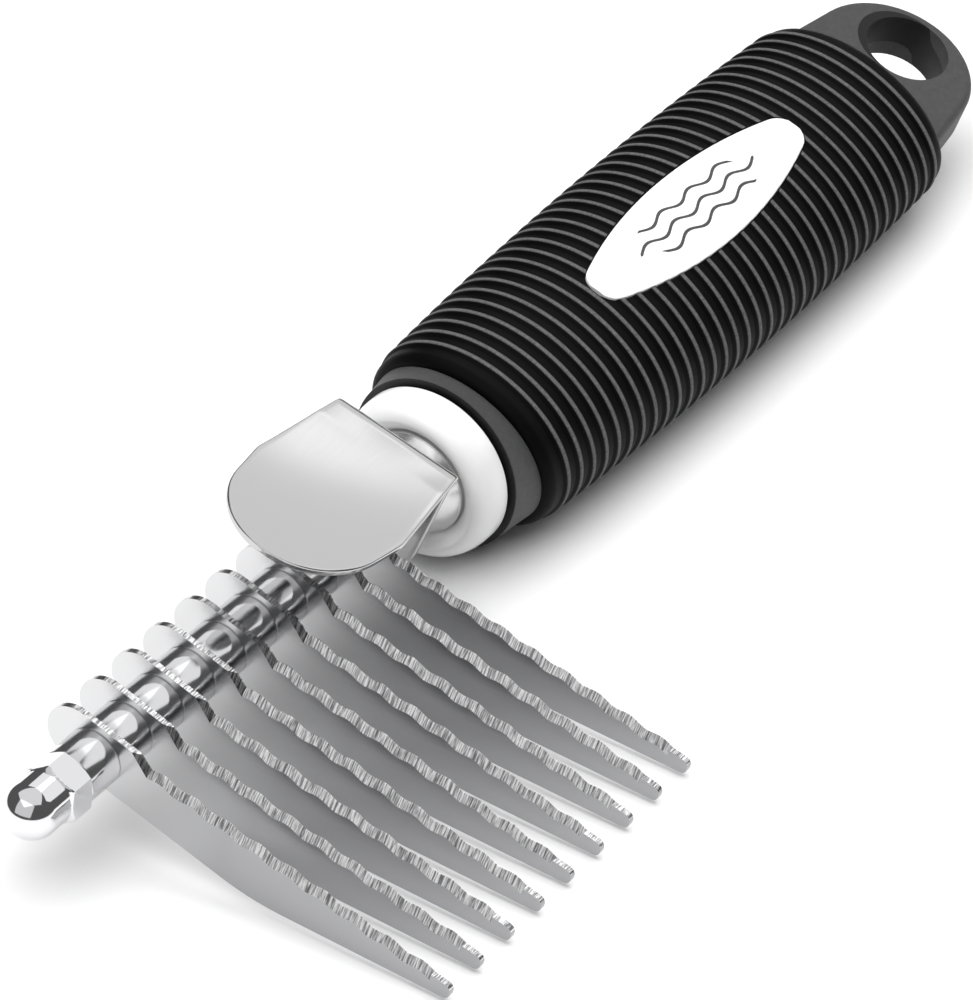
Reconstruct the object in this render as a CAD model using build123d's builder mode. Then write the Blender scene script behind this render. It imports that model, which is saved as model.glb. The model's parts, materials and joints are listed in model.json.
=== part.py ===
from build123d import *
import os
from math import acos, asin, atan2, cos, hypot, pi, sin

# Dematting comb: nine serrated blades and their spacers clamped on a keyed rod between a
# domed nut and a thumb rest, with a moulded handle, a ribbed rubber sleeve and a label.
#
# Working frame, in millimetres: X runs along the rod from the nut to the hanging tab, with
# X = 0 on the nut side of the first blade. The blades point along -Y and the thumb pad is
# above the rod, on +Z. At the end every piece is rolled and moved together, so that the comb
# lies on its blade tips and its grip with the middle of its box over the origin.

# ---- driving dimensions: blade pack -------------------------------------------------------
blade_count = 9
blade_thickness = 0.9
spacer_length = 5.9
spacer_radius = 4.05
blade_pitch = blade_thickness + spacer_length

# ---- driving dimensions: one blade, seen along the rod ------------------------------------
tail_radius = 4.15
tail_out = 3.45  # tail centre, out from the rod on the side away from the tip
tail_up = 1.1
top_edge_end = 5.8  # where the straight top edge stops
top_edge_up = 4.55
step_end = 7.7  # foot of the short step down to the cutting edge
tip_reach = 54.9
serration_end = 51.8  # past this the tip is smooth and rounded
edge_up = 3.35  # mean height of the cutting edge at the step
edge_fall = 0.6  # how far that mean line drops towards the tip
wave_period = 5.05
wave_height = 0.46  # crest to trough
first_crest = 9.6
bevel_width = 0.95
bevel_depth = 0.8  # of the blade's thickness; the rest is the edge's flat
bevel_start = 4.8
heel = (4.0, -3.87)  # the back edge's corners, as reach and height
back_bend = (25.9, -5.2)
toe_up = 0.58
heel_round, bend_round = 20.0, 35.0
tip_round_share = 0.47  # of the smooth tip's height, at each of its two corners

# ---- driving dimensions: rod and nut ------------------------------------------------------
rod_radius = 2.5
rod_flats = 4.0  # across the two flats that stop the blades turning
running_gap = 0.05  # radial, between the rod and what moves on it
rod_thread = 7.2  # of the rod stands past the front spacer
rod_head_flats = 8.0
rod_head_length = 4.0
rod_anchor = 40.0  # depth of the rod's head behind the ferrule
nut_flats = 8.0
nut_hex_height = 4.0
nut_height = 11.0
nut_dome_radius = 3.85
nut_bore_depth = 8.2
nut_turn = 15.5  # how the hexagon stands, in degrees
nut_chamfer = 0.45

# ---- driving dimensions: thumb rest -------------------------------------------------------
sheet = 1.0
pad_height = 14.8  # top of the pad at its middle, above the rod's axis
pad_rear_half = 9.5
pad_front_half = 11.7
pad_flare_length = 16.5  # from the leg's rear face to where the pad is widest
pad_nose_radius = 11.1
pad_length = 31.7
pad_dish_radius = 150.0
pad_dish_back = 12.7  # from the leg's rear face to the dish's lowest point
bend_radius = 1.5  # outside of the bend between the pad and the leg
leg_foot_radius = 7.4

# ---- driving dimensions: handle -----------------------------------------------------------
handle_roll = 4.0  # how far the handle is turned on the rod, in degrees
boss_length = 9.7
boss_front_radius = 5.2
boss_waist_radius = 4.6
boss_rim_radius = 7.5
boss_rim = 1.0
ferrule_radius = 11.9
ferrule_length = 3.6  # behind the boss
ferrule_band = 1.5  # straight band at the ferrule's rear
ferrule_crest_radius = 9.6
ferrule_crest = 1.9  # how far its rounded front stands forward of the boss's rim
collar_length = 6.1
collar_radius = 12.7
collar_groove = 0.6
collar_step = 0.3  # how far the collar's rear stands proud of the sleeve's rounded end
grip_length = 101.0
grip_front_half_height = 11.1
grip_height_loss = 0.00012  # half height lost per mm squared from the sleeve's front
grip_half_width = 17.0
grip_width_loss = 0.00064  # half width lost per mm squared from the widest place
grip_widest = 58.0  # behind the sleeve's front
sleeve_wall = 1.8
sleeve_end_round = 2.0
sleeve_front_round = 1.6
rib_count = 34
rib_first = 3.8  # behind the sleeve's front
rib_pitch = 2.83
rib_width = 1.2
rib_height = 0.4
tab_round_radius = 12.2
tab_root_half = 13.4
tab_half_thickness = 3.7
tab_length = 20.3  # behind the sleeve
tab_edge_round = 1.2
hang_hole_radius = 6.2
hang_hole_edge = 1.9  # of material between the hole and the tab's end
label_length = 56.5
label_half_width = 6.45
label_tip_round = 3.2
label_centre = 52.8  # behind the sleeve's front
label_thickness = 1.0
label_proud = 0.35
label_gap = 0.1

# ---- places along the rod, from the sizes above -------------------------------------------
leg_x = blade_count * blade_pitch
boss_x = leg_x + sheet
ferrule_x = boss_x + boss_length
core_x = ferrule_x + ferrule_length
sleeve_x = core_x + collar_length
sleeve_end_x = sleeve_x + grip_length
tab_end_x = sleeve_end_x + tab_length
hole_x = tab_end_x - hang_hole_edge - hang_hole_radius
nut_x = -spacer_length
rod_head_x = core_x + rod_anchor


def across_rod(x):
    """Plane square to the rod at x, with +Y to its right and +Z up."""
    return Plane.YZ.offset(x)


def tangent_point(centre, radius, target, side):
    """Point where the line from target touches a circle, on the left (+1) or right (-1)."""
    run, rise = target[0] - centre[0], target[1] - centre[1]
    angle = atan2(rise, run) + side * acos(radius / hypot(run, rise))
    return centre[0] + radius * cos(angle), centre[1] + radius * sin(angle)


def edge_height(reach):
    """Cutting edge's height at a reach from the rod: a falling line and a cosine wave."""
    line = edge_up - edge_fall * (reach - step_end) / (serration_end - step_end)
    return line + wave_height / 2 * cos(2 * pi * (reach - first_crest) / wave_period)


def edge_points(drop=0.0):
    """Points of the serrated edge, six to a wave, from the step to the smooth tip."""
    steps = round(6 * (serration_end - step_end) / wave_period)
    reaches = [step_end + i * (serration_end - step_end) / steps for i in range(steps + 1)]
    return [(-reach, edge_height(reach) - drop) for reach in reaches]


def grip_half_size(x, grow=0.0):
    """Half width and half height of the grip's oval at x, grown by an offset."""
    behind = x - sleeve_x
    width = grip_half_width - grip_width_loss * (behind - grip_widest) ** 2
    height = grip_front_half_height - grip_height_loss * behind**2
    return width + grow, height + grow


def grip_solid(start, end, grow, mode=Mode.ADD):
    """Lofts the grip's ovals from start to end, in the part being built."""
    sections = 7
    ovals = []
    for i in range(sections):
        x = start + (end - start) * i / (sections - 1)
        with BuildSketch(across_rod(x)) as oval:
            Ellipse(*grip_half_size(x, grow))
        ovals.append(oval.sketch.face())
    loft(ovals, mode=mode)


def key_cut(x, length, gap=running_gap):
    """Cuts the rod's two-flat section, with a gap round it, from the part being built."""
    with BuildSketch(across_rod(x)) as keyway:
        Circle(rod_radius + gap)
        Rectangle(2 * (rod_radius + gap), rod_flats + 2 * gap, mode=Mode.INTERSECT)
    extrude(keyway.sketch, amount=length, mode=Mode.SUBTRACT)


def label_outline(grow):
    """The label's pointed oval, grown by an offset: two arcs with rounded tips, from above."""
    half = label_half_width + grow
    tip = label_length / 2 + 1.1 * label_tip_round + 1.2 * grow
    with BuildSketch(Plane((label_x, 0, 0))) as outline:
        with BuildLine():
            ThreePointArc((-tip, 0), (0, half), (tip, 0))
            ThreePointArc((tip, 0), (0, -half), (-tip, 0))
        make_face()
        fillet(outline.vertices(), label_tip_round + grow)
    return outline.sketch


# ---- blades -------------------------------------------------------------------------------
tail_centre = (tail_out, tail_up)
tail_top = tangent_point(tail_centre, tail_radius, (-top_edge_end, top_edge_up), -1)
tail_foot = tangent_point(tail_centre, tail_radius, (-heel[0], heel[1]), 1)
tail_end = (tail_out + tail_radius, tail_up)
tip_up = edge_height(serration_end)
tip_round = tip_round_share * (tip_up - toe_up)
edge_line = edge_points()
grind_line = edge_points(drop=bevel_width)
grind_clear = tail_radius + tail_up + 2 * bevel_width


def make_blade(x):
    """One blade, its nut side at x: a flat strip with a round tail and a wavy ground edge."""
    with BuildPart() as blade:
        with BuildSketch(across_rod(x)):
            with BuildLine():
                ThreePointArc(tail_top, tail_end, tail_foot)
                FilletPolyline(
                    tail_foot,
                    (-heel[0], heel[1]),
                    (-back_bend[0], back_bend[1]),
                    (-tip_reach, toe_up),
                    (-tip_reach, tip_up),
                    edge_line[-1],
                    radius=[heel_round, bend_round, tip_round, tip_round],
                )
                Spline(edge_line)
                Polyline(edge_line[0], (-top_edge_end, top_edge_up), tail_top)
            make_face()
        extrude(amount=blade_thickness)
        # the bevel is ground from the nut side, so its cutter leans up as it goes in
        with BuildSketch(across_rod(x)):
            with BuildLine():
                Polyline((-bevel_start, top_edge_up), grind_line[0])
                Spline(grind_line)
                Polyline(
                    grind_line[-1],
                    (-serration_end, grind_clear),
                    (-bevel_start, grind_clear),
                    (-bevel_start, top_edge_up),
                )
            make_face()
        extrude(
            amount=hypot(bevel_depth, bevel_width),
            dir=(bevel_depth, 0, bevel_width),
            mode=Mode.SUBTRACT,
        )
        key_cut(x, blade_thickness)
    return blade


def make_spacer(x):
    """One plain tube spacer, starting at x."""
    with BuildPart() as spacer:
        with BuildSketch(across_rod(x)):
            Circle(spacer_radius)
            Circle(rod_radius + running_gap, mode=Mode.SUBTRACT)
        extrude(amount=spacer_length)
    return spacer


pieces = {}
for number in range(1, blade_count + 1):
    blade_x = (number - 1) * blade_pitch
    pieces[f"blade_{number}"] = make_blade(blade_x)
    pieces[f"spacer_{number}"] = make_spacer(blade_x + blade_thickness)
pieces["front_spacer"] = make_spacer(nut_x)

# ---- tension rod: two flats to the leg, round behind it, a hexagon head in the handle -----
with BuildPart() as tension_rod:
    with BuildSketch(across_rod(nut_x - rod_thread)):
        Circle(rod_radius)
        Rectangle(2 * rod_radius, rod_flats, mode=Mode.INTERSECT)
    extrude(amount=boss_x - nut_x + rod_thread)
    with BuildSketch(across_rod(boss_x)):
        Circle(rod_radius)
    extrude(amount=rod_head_x - boss_x)
    with BuildSketch(across_rod(rod_head_x)):
        RegularPolygon(rod_head_flats / 2, 6, major_radius=False, rotation=handle_roll)
    extrude(amount=rod_head_length)
pieces["tension_rod"] = tension_rod

# ---- domed nut ----------------------------------------------------------------------------
with BuildPart() as dome_nut:
    with BuildSketch(across_rod(nut_x)):
        RegularPolygon(nut_flats / 2, 6, major_radius=False, rotation=nut_turn)
    extrude(amount=-nut_hex_height)
    nut_corner = nut_flats / 2 / cos(pi / 6)
    hex_front = nut_x - nut_hex_height
    with BuildSketch(Plane.XY):
        Polygon(
            (nut_x, 0),
            (nut_x, nut_corner - nut_chamfer),
            (nut_x - nut_chamfer / 2, nut_corner),
            (hex_front + nut_chamfer, nut_corner),
            (hex_front, nut_flats / 2),
            (hex_front, 0),
            align=None,
        )
    revolve(axis=Axis.X, mode=Mode.INTERSECT)
    dome_centre = nut_x - nut_height + nut_dome_radius
    with BuildSketch(Plane.XY):
        with BuildLine():
            Polyline(
                (dome_centre - nut_dome_radius, 0),
                (hex_front, 0),
                (hex_front, nut_dome_radius),
                (dome_centre, nut_dome_radius),
            )
            CenterArc((dome_centre, 0), nut_dome_radius, 90, 90)
        make_face()
    revolve(axis=Axis.X)
    with BuildSketch(across_rod(nut_x)):
        Circle(rod_radius + running_gap)
    extrude(amount=-nut_bore_depth, mode=Mode.SUBTRACT)
pieces["dome_nut"] = dome_nut

# ---- thumb rest: one bent sheet, a dished pad over a leg that the rod clamps --------------
pad_front_x = boss_x - pad_length
pad_nose_x = pad_front_x + pad_nose_radius
pad_wide_x = boss_x - pad_flare_length
dish_centre_z = pad_height + pad_dish_radius
leg_top = pad_height + 3 * sheet
with BuildPart() as thumb_rest:
    # the pad: its outline as a thick slab, cut to the shell between two spheres
    with BuildSketch(Plane.XY.offset(pad_height - 3 * sheet)):
        with BuildLine():
            right_side = Polyline(
                (boss_x, 0), (boss_x, -pad_rear_half), (pad_wide_x, -pad_front_half)
            )
            nose_in = tangent_point(
                (pad_nose_x, 0), pad_nose_radius, (pad_wide_x, -pad_front_half), -1
            )
            right_nose = Line(right_side @ 1, nose_in)
            ThreePointArc(nose_in, (pad_front_x, 0), (nose_in[0], -nose_in[1]))
            mirror(right_nose, about=Plane.XZ)
            mirror(right_side, about=Plane.XZ)
        make_face()
        wide_corners = [v for v in vertices() if abs(v.X - pad_wide_x) < sheet]
        fillet(wide_corners, pad_nose_radius / 2)
    extrude(amount=6 * sheet)
    dish_middle = (boss_x - pad_dish_back, 0, dish_centre_z)
    with Locations(dish_middle):
        Sphere(pad_dish_radius + sheet, mode=Mode.INTERSECT)
    with Locations(dish_middle):
        Sphere(pad_dish_radius, mode=Mode.SUBTRACT)
    # the leg: a plate that narrows from the pad to a round foot on the rod
    with BuildSketch(across_rod(leg_x)):
        with BuildLine():
            foot_in = tangent_point((0, 0), leg_foot_radius, (-pad_rear_half, leg_top), 1)
            side = Line((-pad_rear_half, leg_top), foot_in)
            ThreePointArc(foot_in, (0, -leg_foot_radius), (-foot_in[0], foot_in[1]))
            mirror(side, about=Plane.YZ)
            Line((-pad_rear_half, leg_top), (pad_rear_half, leg_top))
        make_face()
    extrude(amount=sheet)
    with Locations(dish_middle):
        Sphere(pad_dish_radius, mode=Mode.SUBTRACT)
    fold = edges().filter_by(lambda edge: edge.center().X > boss_x - 0.01)
    fillet(fold.sort_by(Axis.Z)[-1], bend_radius)
    key_cut(leg_x, sheet)
pieces["thumb_rest"] = thumb_rest

# ---- neck boss and ferrule ----------------------------------------------------------------
with BuildPart() as neck_boss:
    with BuildSketch(Plane.XY):
        with BuildLine():
            Polyline(
                (ferrule_x - boss_rim, boss_rim_radius),
                (ferrule_x, boss_rim_radius),
                (ferrule_x, rod_radius),
                (boss_x, rod_radius),
                (boss_x, boss_front_radius),
            )
            ThreePointArc(
                (boss_x, boss_front_radius),
                (boss_x + boss_length / 2, boss_waist_radius + boss_rim / 2),
                (ferrule_x - boss_rim, boss_rim_radius),
            )
        make_face()
    revolve(axis=Axis.X)
pieces["neck_boss"] = neck_boss

with BuildPart() as ferrule:
    crest = (ferrule_x - ferrule_crest, ferrule_crest_radius)
    with BuildSketch(Plane.XY):
        with BuildLine():
            Polyline(
                (core_x - ferrule_band, ferrule_radius),
                (core_x, ferrule_radius),
                (core_x, rod_radius),
                (ferrule_x, rod_radius),
                (ferrule_x, boss_rim_radius),
            )
            TangentArc((core_x - ferrule_band, ferrule_radius), crest, tangent=(-1, 0))
            Spline((ferrule_x, boss_rim_radius), crest, tangents=[(-0.9, 0.45), (-0.35, 0.9)])
        make_face()
    revolve(axis=Axis.X)
pieces["ferrule"] = ferrule

# ---- handle core: collar, body inside the sleeve, and the hanging tab ---------------------
core_grow = -sleeve_wall
with BuildPart() as handle_core:
    with BuildSketch(Plane.XY.offset(-tab_half_thickness)):
        with BuildLine():
            tab_centre = (tab_end_x - tab_round_radius, 0)
            tab_root = (sleeve_end_x, -tab_root_half)
            tab_turn = tangent_point(tab_centre, tab_round_radius, tab_root, 1)
            tab_side = Line(tab_root, tab_turn)
            ThreePointArc(tab_turn, (tab_end_x, 0), (tab_turn[0], -tab_turn[1]))
            mirror(tab_side, about=Plane.XZ)
            Line(tab_root, (sleeve_end_x, tab_root_half))
        make_face()
    extrude(amount=2 * tab_half_thickness)
    tab_root_edges = edges().group_by(Axis.X)[0]
    tab_rim = edges().filter_by(GeomType.LINE).filter_by(Axis.Z, reverse=True)
    tab_rim += edges().filter_by(GeomType.CIRCLE)
    fillet([edge for edge in tab_rim if edge not in tab_root_edges], tab_edge_round)
    with Locations((hole_x, 0, 0)):
        Hole(hang_hole_radius)
    with BuildSketch(across_rod(core_x)):
        Circle(ferrule_radius - collar_groove)
    extrude(amount=collar_groove)
    with BuildSketch(across_rod(core_x + collar_groove)):
        Circle(collar_radius)
    with BuildSketch(across_rod(sleeve_x)):
        Ellipse(*grip_half_size(sleeve_x, collar_step - sleeve_front_round))
    loft()
    grip_solid(sleeve_x, sleeve_end_x, core_grow)
    with BuildSketch(across_rod(core_x)):
        Circle(rod_radius)
    extrude(amount=rod_anchor, mode=Mode.SUBTRACT)
    with BuildSketch(across_rod(rod_head_x)):
        RegularPolygon(rod_head_flats / 2, 6, major_radius=False)
    extrude(amount=rod_head_length, mode=Mode.SUBTRACT)
pieces["handle_core"] = handle_core

# ---- label plate, and the pocket it sits in -----------------------------------------------
label_x = sleeve_x + label_centre
label_start, label_end = label_x - label_length / 2 - 2, label_x + label_length / 2 + 2


def label_solid(top, floor, grow):
    """The slab of the grip's own surface, from floor to top, inside the label's outline."""
    with BuildPart() as slab:
        grip_solid(label_start, label_end, top)
        grip_solid(label_start, label_end, floor, mode=Mode.SUBTRACT)
        extrude(label_outline(grow), amount=2 * grip_front_half_height, mode=Mode.INTERSECT)
    return slab


label_floor = label_proud - label_thickness
pieces["label_plate"] = label_solid(label_proud, label_floor, 0.0)
label_pocket = label_solid(2 * rib_height, label_floor, label_gap)

# ---- rubber sleeve with its ribs ----------------------------------------------------------
with BuildPart() as grip_sleeve:
    grip_solid(sleeve_x, sleeve_end_x, 0.0)
    fillet(faces().sort_by(Axis.X)[-1].edges(), sleeve_end_round)
    fillet(faces().sort_by(Axis.X)[0].edges(), sleeve_front_round)
    for rib in range(rib_count):
        rib_x = sleeve_x + rib_first + rib * rib_pitch
        with BuildSketch(across_rod(rib_x - rib_width / 2)):
            Ellipse(*grip_half_size(rib_x, rib_height))
        extrude(amount=rib_width)
    grip_solid(sleeve_x, sleeve_end_x, core_grow, mode=Mode.SUBTRACT)
    add(label_pocket.part, mode=Mode.SUBTRACT)
pieces["grip_sleeve"] = grip_sleeve


# ---- the comb's rest: rolled onto its tips and grip, over the origin ----------------------
def rest_roll():
    """Roll, in radians, that brings the blade tips as low as the grip's lowest rib."""
    roll = 0.2
    for _ in range(30):
        turned = roll + handle_roll * pi / 180
        lowest = 0.0
        for rib in range(rib_count):
            wide, high = grip_half_size(sleeve_x + rib_first + rib * rib_pitch, rib_height)
            lowest = max(lowest, hypot(wide * sin(turned), high * cos(turned)))
        roll = asin((lowest + toe_up * cos(roll)) / tip_reach)
    return roll


turned_pieces = ("handle_core", "grip_sleeve", "label_plate")
roll_degrees = rest_roll() * 180 / pi
places = {}
for name, piece in pieces.items():
    turn = roll_degrees + (handle_roll if name in turned_pieces else 0)
    places[name] = Location((0, 0, 0), (turn, 0, 0))
    piece.part.locate(places[name])
boxes = [piece.part.bounding_box() for piece in pieces.values()]
middle_x = (min(box.min.X for box in boxes) + max(box.max.X for box in boxes)) / 2
middle_y = (min(box.min.Y for box in boxes) + max(box.max.Y for box in boxes)) / 2
bottom = min(box.min.Z for box in boxes)

os.makedirs("parts", exist_ok=True)
for name, piece in pieces.items():
    piece.part.locate(Location((-middle_x, -middle_y, -bottom)) * places[name])
    piece.part.label = name
    export_step(piece.part, f"parts/{name}.step")

print(f"rolled {roll_degrees:.3f} degrees, moved {-middle_x:.3f} {-middle_y:.3f} {-bottom:.3f}")
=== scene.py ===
"""Looks of a dematting comb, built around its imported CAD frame.

The steel blades, the rod and the handle's core keep their CAD meshes. The spacers, the domed
nut, the thumb rest, the neck, the ferrule, the ribbed sleeve and the label are surfaces worked
out on grids. Sizes are in millimetres along the rod; RodFrame places them in the frame.
"""

import json
import logging
from dataclasses import dataclass
from enum import Enum
from math import atan2, degrees, radians

import bpy
import numpy as np
from mathutils import Matrix, Vector

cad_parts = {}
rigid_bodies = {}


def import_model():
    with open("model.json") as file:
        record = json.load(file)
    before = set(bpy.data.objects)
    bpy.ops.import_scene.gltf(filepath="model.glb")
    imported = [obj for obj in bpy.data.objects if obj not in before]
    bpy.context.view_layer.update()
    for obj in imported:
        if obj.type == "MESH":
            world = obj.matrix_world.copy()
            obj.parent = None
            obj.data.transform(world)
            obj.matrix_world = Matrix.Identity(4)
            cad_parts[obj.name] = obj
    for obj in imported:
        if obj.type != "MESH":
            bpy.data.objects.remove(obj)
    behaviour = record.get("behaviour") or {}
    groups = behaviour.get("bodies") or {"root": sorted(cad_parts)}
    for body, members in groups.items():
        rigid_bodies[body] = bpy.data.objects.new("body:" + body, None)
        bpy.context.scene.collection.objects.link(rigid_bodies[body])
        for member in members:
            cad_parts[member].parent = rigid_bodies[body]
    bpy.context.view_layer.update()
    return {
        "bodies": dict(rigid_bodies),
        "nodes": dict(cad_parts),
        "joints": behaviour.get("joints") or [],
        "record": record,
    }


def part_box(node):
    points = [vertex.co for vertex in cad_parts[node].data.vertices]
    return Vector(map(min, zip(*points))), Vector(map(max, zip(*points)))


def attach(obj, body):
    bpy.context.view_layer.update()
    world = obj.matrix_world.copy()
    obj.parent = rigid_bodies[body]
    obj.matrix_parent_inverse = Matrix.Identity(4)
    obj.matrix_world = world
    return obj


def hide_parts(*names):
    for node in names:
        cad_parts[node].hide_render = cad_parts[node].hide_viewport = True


LOG = logging.getLogger("dematting_comb")
MM = 0.001  # metres in a millimetre
Socket = bpy.types.NodeSocket
MIX_LOW, MIX_HIGH, MIX_RESULT = 6, 7, 2  # a mix node's two colour inputs and its colour output


class Body(Enum):
    """Moving bodies of the comb."""

    HANDLE = "handle"
    SPACER = "end_spacer"
    NUT = "nut"


# ---- small helpers ------------------------------------------------------------------------
def linear(colour: str) -> tuple[float, float, float, float]:
    """Turns an sRGB hex colour into the linear values that shaders take.

    Args:
        colour: six hex digits after a hash sign.

    Returns:
        Linear red, green and blue, and an alpha of one.
    """
    parts = [int(colour[i : i + 2], 16) / 255 for i in (1, 3, 5)]
    red, green, blue = (c / 12.92 if c <= 0.04045 else ((c + 0.055) / 1.055) ** 2.4 for c in parts)
    return red, green, blue, 1.0


def per_metre(size_mm: float) -> float:
    """Scale of a pattern whose features are size_mm across."""
    return 1 / (size_mm * MM)


def grid_faces(rows: int, columns: int, closed_rows: bool) -> list[list[int]]:
    """Quads of a grid whose columns always close on themselves.

    Args:
        rows: rings in the grid.
        columns: points in a ring.
        closed_rows: whether the last ring joins the first.

    Returns:
        Corner numbers of each quad.
    """
    first = np.arange(rows if closed_rows else rows - 1)[:, None]
    across = np.arange(columns)[None, :]
    after = (first + 1) % rows
    beside = (across + 1) % columns
    corners = np.stack(
        [
            first * columns + across,
            first * columns + beside,
            after * columns + beside,
            after * columns + across,
        ],
        axis=-1,
    )
    return corners.reshape(-1, 4).tolist()


def make_piece(
    name: str,
    points: np.ndarray,
    closed_rows: bool = False,
    sharp: float = 35.0,
    flip: bool = False,
) -> bpy.types.Object:
    """Makes a smooth object from a grid of points whose columns close on themselves.

    Open ends are closed with one face each, so the mesh is always a closed skin.

    Args:
        name: the piece's name.
        points: rows x columns x 3, in metres.
        closed_rows: whether the last ring joins the first.
        sharp: angle in degrees past which an edge is shown sharp.
        flip: whether the faces have to be turned round to point outwards.

    Returns:
        The new object, at the origin.
    """
    rows, columns = points.shape[:2]
    faces = grid_faces(rows, columns, closed_rows)
    if not closed_rows:
        faces.append(list(range(columns))[::-1])
        faces.append(list(range((rows - 1) * columns, rows * columns)))
    if flip:
        faces = [face[::-1] for face in faces]
    mesh = bpy.data.meshes.new(name)
    mesh.from_pydata(points.reshape(-1, 3).tolist(), [], faces)
    mesh.shade_smooth()
    mesh.set_sharp_from_angle(angle=radians(sharp))
    mesh.update()
    piece = bpy.data.objects.new(name, mesh)
    bpy.context.scene.collection.objects.link(piece)
    return piece


def arc(centre: tuple, radius: float, start: float, end: float, count: int) -> np.ndarray:
    """Points on a circle's arc: centre + radius * (cos a, sin a), for a from start to end.

    Args:
        centre: the circle's centre.
        radius: its radius.
        start: first angle, in degrees.
        end: last angle, in degrees.
        count: number of points.

    Returns:
        count x 2 points.
    """
    angle = np.radians(np.linspace(start, end, count))
    return np.stack([centre[0] + radius * np.cos(angle), centre[1] + radius * np.sin(angle)], 1)


def lathe(profile: np.ndarray, segments: int, start: float = 0.0) -> np.ndarray:
    """Turns a profile round the rod: each point (x, r) gives a ring (x, r cos a, r sin a).

    Args:
        profile: points as place along the rod and radius.
        segments: points in a ring.
        start: angle of each ring's first point, in radians.

    Returns:
        rows x segments x 3 points, in millimetres.
    """
    angle = start + np.linspace(0, 2 * np.pi, segments, endpoint=False)[None, :]
    along, radius = profile[:, :1], profile[:, 1:]
    return np.stack(
        [along + 0 * angle, radius * np.cos(angle), radius * np.sin(angle)], axis=-1
    )


def touch_point(corner: tuple, radius: float, side: int) -> np.ndarray:
    """Where a line from a corner touches a circle round zero.

    The point lies at the corner's angle, plus or minus the arc cosine of radius over distance.

    Args:
        corner: the point that the line comes from.
        radius: the circle's radius.
        side: 1 for the touch past the corner's angle, -1 for the one before it.

    Returns:
        The point of touch.
    """
    turn = np.arctan2(corner[1], corner[0]) + side * np.arccos(radius / np.hypot(*corner))
    return radius * np.array([np.cos(turn), np.sin(turn)])


@dataclass(frozen=True)
class RodFrame:
    """Turns millimetres along the rod into the frame's metres.

    X runs along the rod from the first blade, and the points are rolled about the rod and
    then moved: row = move + roll(point).
    """

    move: np.ndarray
    rod_roll: float
    grip_roll: float

    @classmethod
    def from_frame(cls, frame: dict, nut_seat: float, twist: float) -> "RodFrame":
        """Reads the rod's line from the nut's joint, and the grip's roll from the hanging hole.

        Args:
            nut_seat: the nut's seat along the rod, in millimetres.
            twist: how far the grip is turned on the rod, in degrees.

        Returns:
            The rod's frame.
        """
        joints = {joint["name"]: joint for joint in frame["joints"]}
        move = np.array(joints["nut_turn"]["pos_m"]) / MM - (nut_seat, 0, 0)
        hole = frame["record"]["mounts"][0]["axis"]
        grip_roll = atan2(-hole[1], hole[2])
        return cls(move, grip_roll - radians(twist), grip_roll)

    def place(self, points: np.ndarray, on_grip: bool = False) -> np.ndarray:
        """Rolls points about the rod and moves them into the frame.

        Args:
            points: ... x 3 points, in millimetres.
            on_grip: whether they turn with the grip and not with the blades.

        Returns:
            The same points in metres, in the frame.
        """
        roll = self.grip_roll if on_grip else self.rod_roll
        along, across, up = points[..., 0], points[..., 1], points[..., 2]
        turned = np.stack(
            [
                along,
                across * np.cos(roll) - up * np.sin(roll),
                across * np.sin(roll) + up * np.cos(roll),
            ],
            axis=-1,
        )
        return (turned + self.move) * MM


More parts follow.
